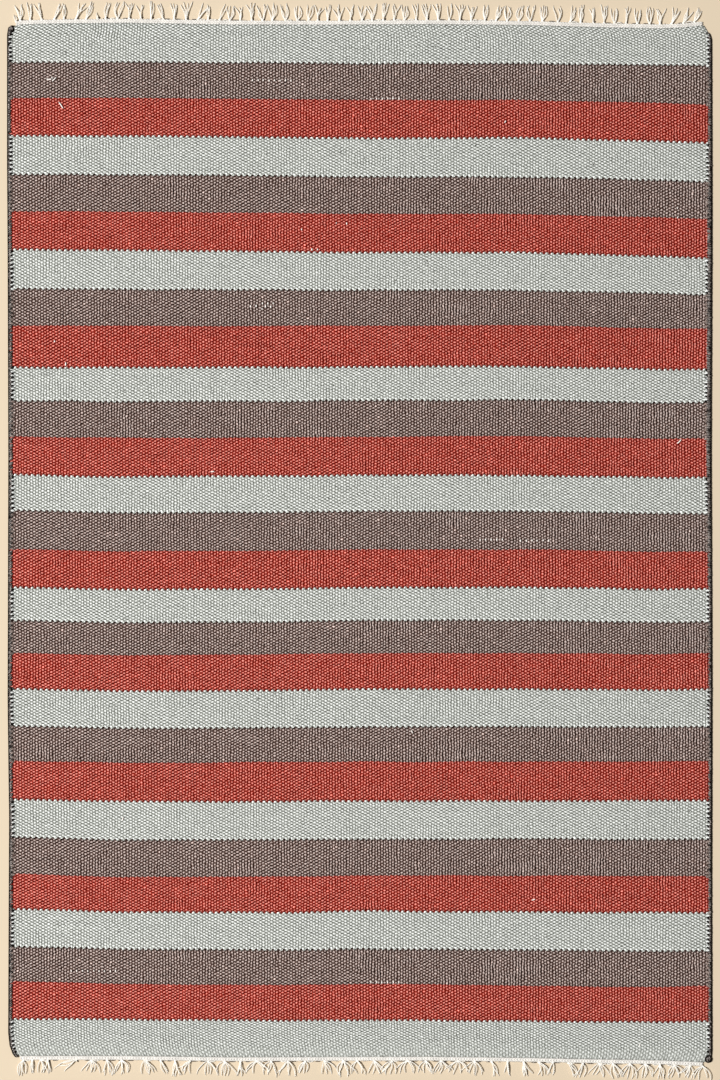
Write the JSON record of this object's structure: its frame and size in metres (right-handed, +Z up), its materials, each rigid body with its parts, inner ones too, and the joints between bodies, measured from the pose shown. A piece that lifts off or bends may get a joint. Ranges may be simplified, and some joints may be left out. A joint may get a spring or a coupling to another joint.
{
  "type": "flatweave rug",
  "caption": "Flat striped flatweave rug with dark wrapped side edges, cream end bands and knotted cotton fringe.",
  "frame": {"origin": "middle of the rug's footprint, on the surface it lies on", "axes": "+X across the rug, +Y along it to the end with the closer tufts, +Z up out of the face"},
  "size_m": [1.22, 1.8669, 0.0094],
  "materials": {
    "wool_weave": "matte weft-faced wool in pale grey-green, taupe and brick red stripes",
    "edge_yarn": "matte charcoal wrapped yarn",
    "cotton_warp": "matte undyed cotton"
  },
  "bodies": {
    "root": {"cloth": "wool_weave", "selvedge_left": "edge_yarn", "selvedge_right": "edge_yarn", "fringe_top": "cotton_warp", "fringe_bottom": "cotton_warp"}
  },
  "joints": []
}
